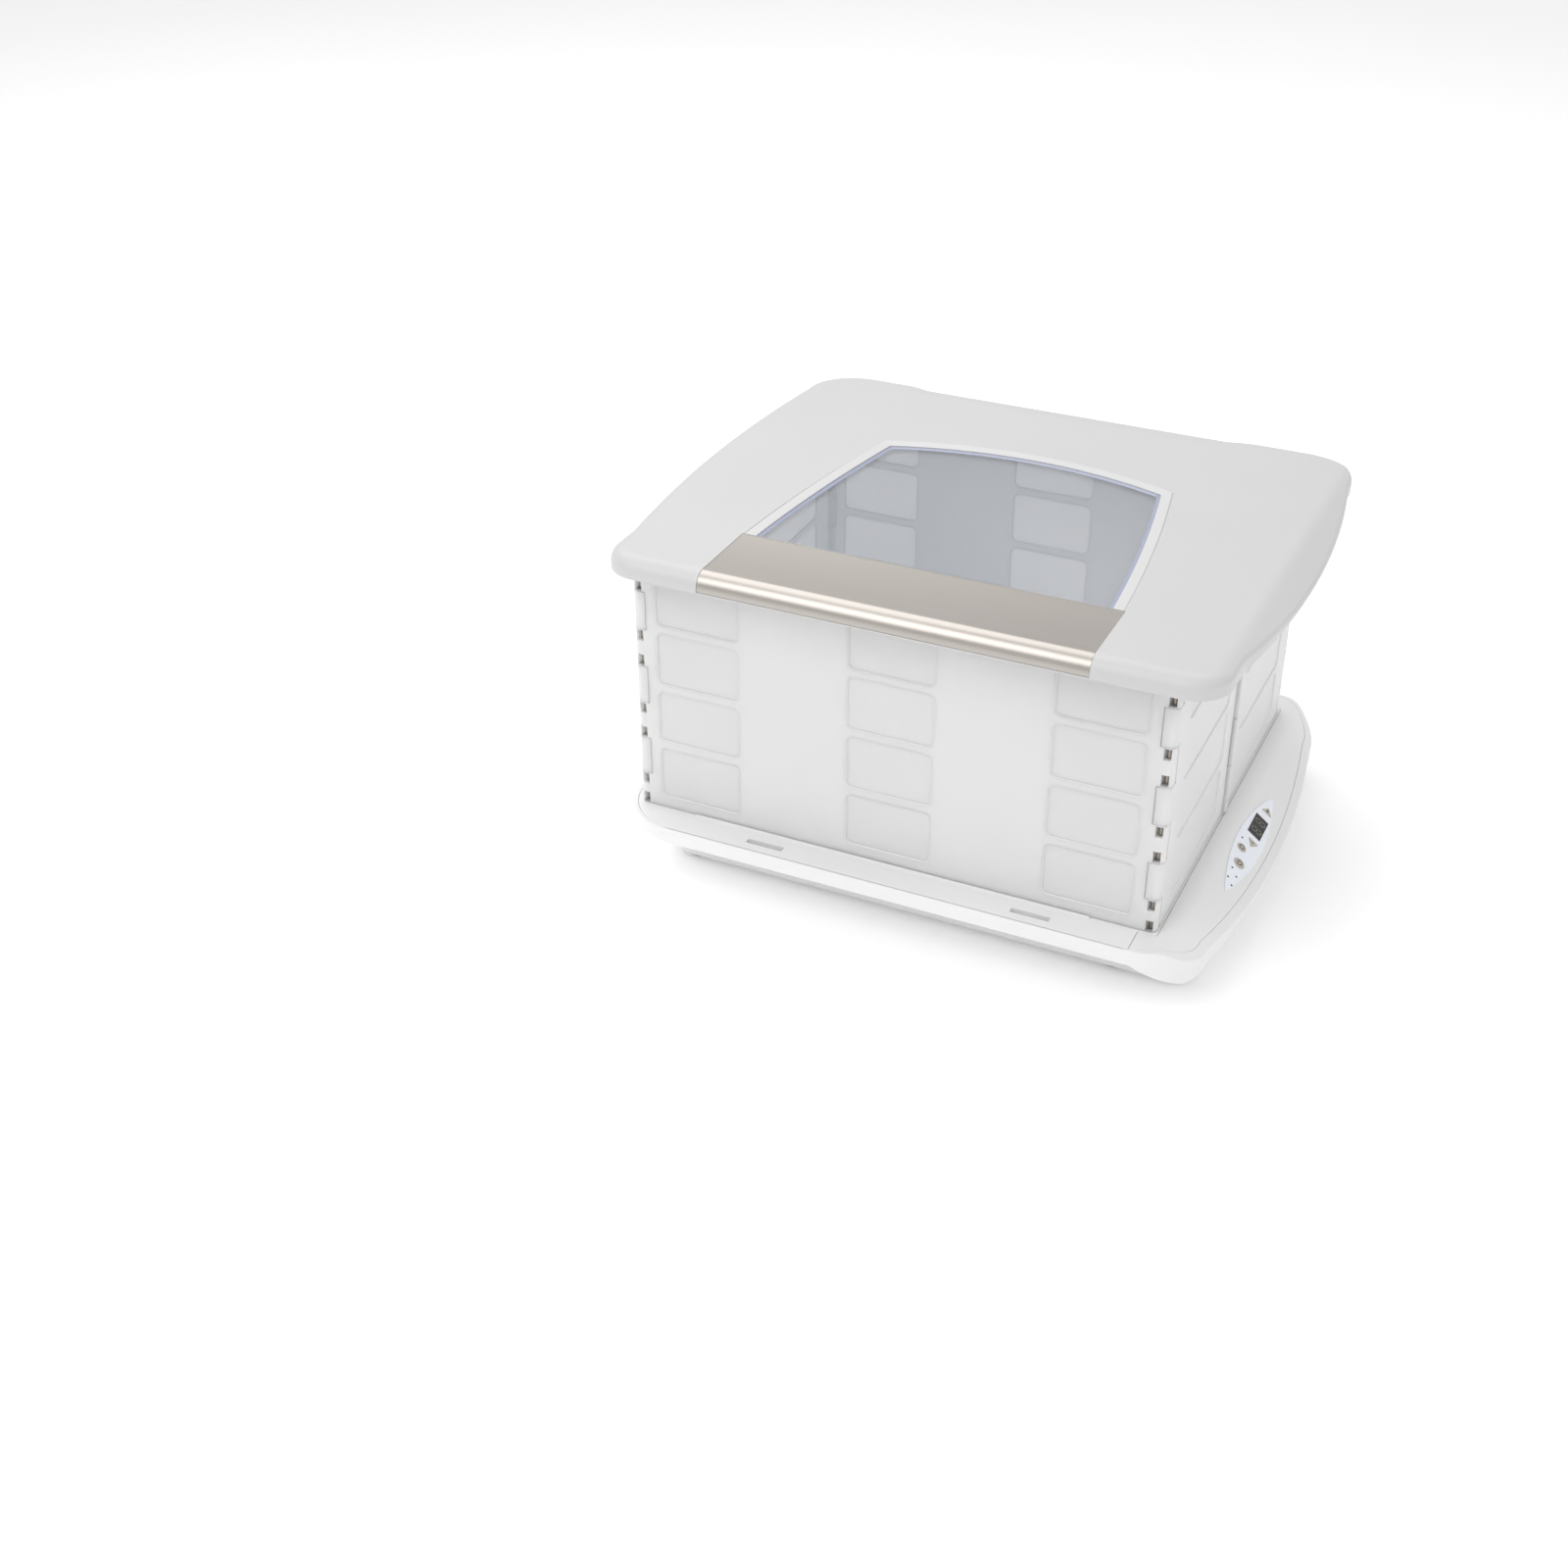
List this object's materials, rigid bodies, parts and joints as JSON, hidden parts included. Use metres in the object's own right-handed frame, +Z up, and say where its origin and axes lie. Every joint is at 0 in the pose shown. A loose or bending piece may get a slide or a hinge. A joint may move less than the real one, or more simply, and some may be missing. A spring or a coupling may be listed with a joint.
{
  "type": "folding proofing box",
  "caption": "Heated folding proofing box with a control panel, hinged folding walls, a windowed lid, a water tray and a wire rack with folding legs.",
  "frame": {"origin": "centre of the footprint, on the table under the feet", "axes": "+X towards the control panel side along the long side, -Y towards the front with the steel trim, +Z up"},
  "size_m": [0.456, 0.384, 0.263],
  "materials": {
    "base_plastic": "satin moulded plastic",
    "lid_plastic": "satin moulded plastic",
    "liner_plastic": "satin moulded plastic",
    "wall_plastic": "fine satin moulded plastic",
    "pin_steel": "drawn wire",
    "trim_steel": "brushed along its length",
    "pane": "clear, slightly blue",
    "gasket": "blue-grey edge",
    "rack_wire": "plated wire",
    "screw_steel": "plain",
    "plate": "satin",
    "tray": "satin",
    "element": "heat-darkened",
    "pad": "fibre mat",
    "sensor": "epoxy bead",
    "fuse": "sleeved",
    "wire_sleeve": "insulated",
    "board": "lacquered",
    "dark_part": "moulded",
    "relay_case": "moulded",
    "lens": "smoked",
    "digits": "unlit segments",
    "overlay": "printed film",
    "keys": "satin",
    "contact_brass": "plain",
    "feet": "soft"
  },
  "bodies": {
    "base": {"base_shell": "base_plastic", "base_deck": "base_plastic", "control_cover": "base_plastic", "keypad_overlay": "overlay", "display_lens": "lens", "display_digits": "digits", "indicator_lights": "lens", "display_module": "dark_part", "control_board": "board", "tact_switches": "screw_steel", "power_board": "board", "transformer": "dark_part", "relay": "relay_case", "capacitors": "dark_part", "heater_plate": "plate", "heating_element": "element", "element_clips": "screw_steel", "insulation_pad": "pad", "temperature_sensor": "sensor", "sensor_clips": "screw_steel", "thermal_fuse": "fuse", "water_tray": "tray", "power_inlet": "dark_part", "inlet_pins": "contact_brass", "rubber_feet": "feet", "base_screws": "screw_steel", "cover_screws": "screw_steel", "wiring": "wire_sleeve"},
    "power_key": {"button_power": "keys"},
    "mode_key": {"button_mode": "keys"},
    "up_key": {"button_up": "keys"},
    "down_key": {"button_down": "keys"},
    "front_wall_body": {"front_wall": "wall_plastic", "front_pins": "pin_steel"},
    "right_front_leaf_body": {"right_front_leaf": "wall_plastic", "right_mid_pin": "pin_steel"},
    "right_rear_leaf_body": {"right_rear_leaf": "wall_plastic"},
    "back_wall_body": {"back_wall": "wall_plastic", "back_pins": "pin_steel"},
    "left_front_leaf_body": {"left_front_leaf": "wall_plastic", "left_mid_pin": "pin_steel"},
    "left_rear_leaf_body": {"left_rear_leaf": "wall_plastic"},
    "lid": {"lid_shell": "lid_plastic", "lid_liner": "liner_plastic", "window_frame": "lid_plastic", "window_pane": "pane", "window_gasket": "gasket", "handle_trim": "trim_steel", "lid_latches": "liner_plastic", "lid_screws": "screw_steel"},
    "rack": {"rack_frame": "rack_wire", "rack_cross_wires": "rack_wire", "rack_long_wires": "rack_wire", "rack_stop_balls": "rack_wire"},
    "left_leg_body": {"left_leg": "rack_wire"},
    "right_leg_body": {"right_leg": "rack_wire"}
  },
  "joints": [
    {"name": "walls_lift", "type": "slide", "parent": "base", "child": "front_wall_body", "axis": [0, 0, 1], "range_m": [0, 0.1]},
    {"name": "walls_fold", "type": "hinge", "parent": "front_wall_body", "child": "right_front_leaf_body", "pos_m": [0.179, -0.16, 0.052], "axis": [0, 0, 1], "range_deg": [0, 90]},
    {"name": "right_mid_hinge", "type": "hinge", "parent": "right_front_leaf_body", "child": "right_rear_leaf_body", "pos_m": [0.1843, 0, 0.052], "axis": [0, 0, 1], "range_deg": [-180, 0]},
    {"name": "right_back_hinge", "type": "hinge", "parent": "right_rear_leaf_body", "child": "back_wall_body", "pos_m": [0.179, 0.16, 0.052], "axis": [0, 0, 1], "range_deg": [0, 90]},
    {"name": "left_front_hinge", "type": "hinge", "parent": "front_wall_body", "child": "left_front_leaf_body", "pos_m": [-0.203, -0.16, 0.052], "axis": [0, 0, 1], "range_deg": [-90, 0]},
    {"name": "left_mid_hinge", "type": "hinge", "parent": "left_front_leaf_body", "child": "left_rear_leaf_body", "pos_m": [-0.2083, 0, 0.052], "axis": [0, 0, 1], "range_deg": [0, 180]},
    {"name": "lid_lift", "type": "slide", "parent": "front_wall_body", "child": "lid", "axis": [0, 0, 1], "range_m": [0, 0.1]},
    {"name": "rack_lift", "type": "slide", "parent": "base", "child": "rack", "axis": [0, 0, -1], "range_m": [-0.18, 0]},
    {"name": "left_leg_swing", "type": "hinge", "parent": "rack", "child": "left_leg_body", "pos_m": [-0.13427, 0, 0.0474], "axis": [0, 1, 0], "range_deg": [0, 115]},
    {"name": "right_leg_swing", "type": "hinge", "parent": "rack", "child": "right_leg_body", "pos_m": [0.11027, 0, 0.0474], "axis": [0, 1, 0], "range_deg": [-115, 0]},
    {"name": "power_press", "type": "slide", "parent": "base", "child": "power_key", "axis": [-0.6157, 0, -0.788], "range_m": [0, 0.0006], "stiffness_N_per_m": 600},
    {"name": "mode_press", "type": "slide", "parent": "base", "child": "mode_key", "axis": [-0.6157, 0, -0.788], "range_m": [0, 0.0006], "stiffness_N_per_m": 600},
    {"name": "up_press", "type": "slide", "parent": "base", "child": "up_key", "axis": [-0.6157, 0, -0.788], "range_m": [0, 0.0006], "stiffness_N_per_m": 600},
    {"name": "down_press", "type": "slide", "parent": "base", "child": "down_key", "axis": [-0.6157, 0, -0.788], "range_m": [0, 0.0006], "stiffness_N_per_m": 600}
  ],
  "couplings": [
    {"joint": "right_mid_hinge", "follows": "walls_fold", "ratio": -2},
    {"joint": "right_back_hinge", "follows": "walls_fold", "ratio": 1},
    {"joint": "left_front_hinge", "follows": "walls_fold", "ratio": -1},
    {"joint": "left_mid_hinge", "follows": "walls_fold", "ratio": 2},
    {"joint": "left_leg_swing", "follows": "rack_lift", "rad_per_m": -11.1},
    {"joint": "right_leg_swing", "follows": "rack_lift", "rad_per_m": 11.1}
  ]
}
